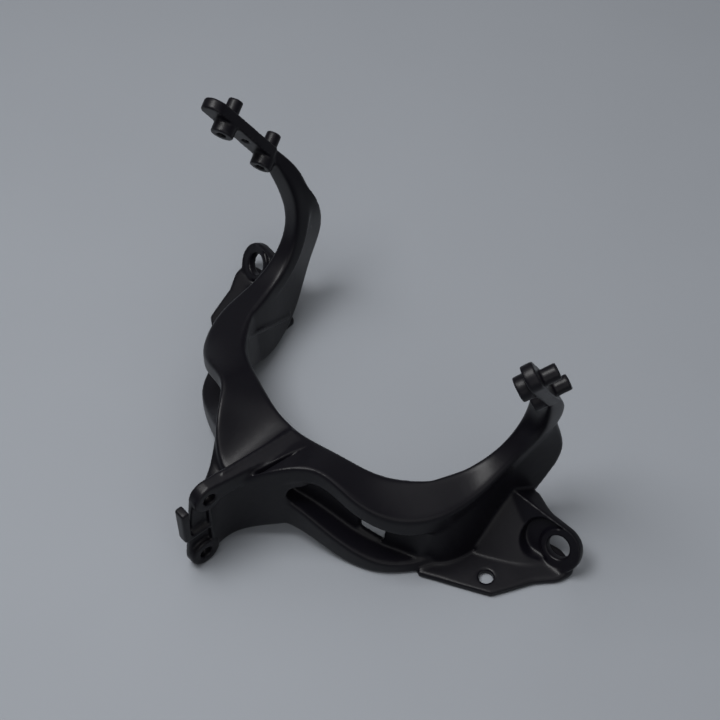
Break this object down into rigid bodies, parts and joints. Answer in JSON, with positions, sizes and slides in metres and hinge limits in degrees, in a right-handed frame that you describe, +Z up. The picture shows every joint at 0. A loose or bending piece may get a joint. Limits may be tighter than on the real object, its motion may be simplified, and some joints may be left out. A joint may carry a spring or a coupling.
{
  "type": "fairing stay",
  "caption": "Cast one-piece motorbike fairing stay: bolted root, two swept arms with side pockets, cupped ears and flat tabs for the cowl, and raised tips for the mirrors.",
  "frame": {"origin": "middle of the lower lug's bolt hole in the root", "axes": "+X across the bike along the root's bolts, +Y from the root back to the ears, +Z up"},
  "size_m": [0.3854, 0.2457, 0.2316],
  "materials": {
    "coat": "satin black paint over a smooth casting"
  },
  "bodies": {
    "root": {"fairing_stay": "coat"}
  },
  "joints": []
}
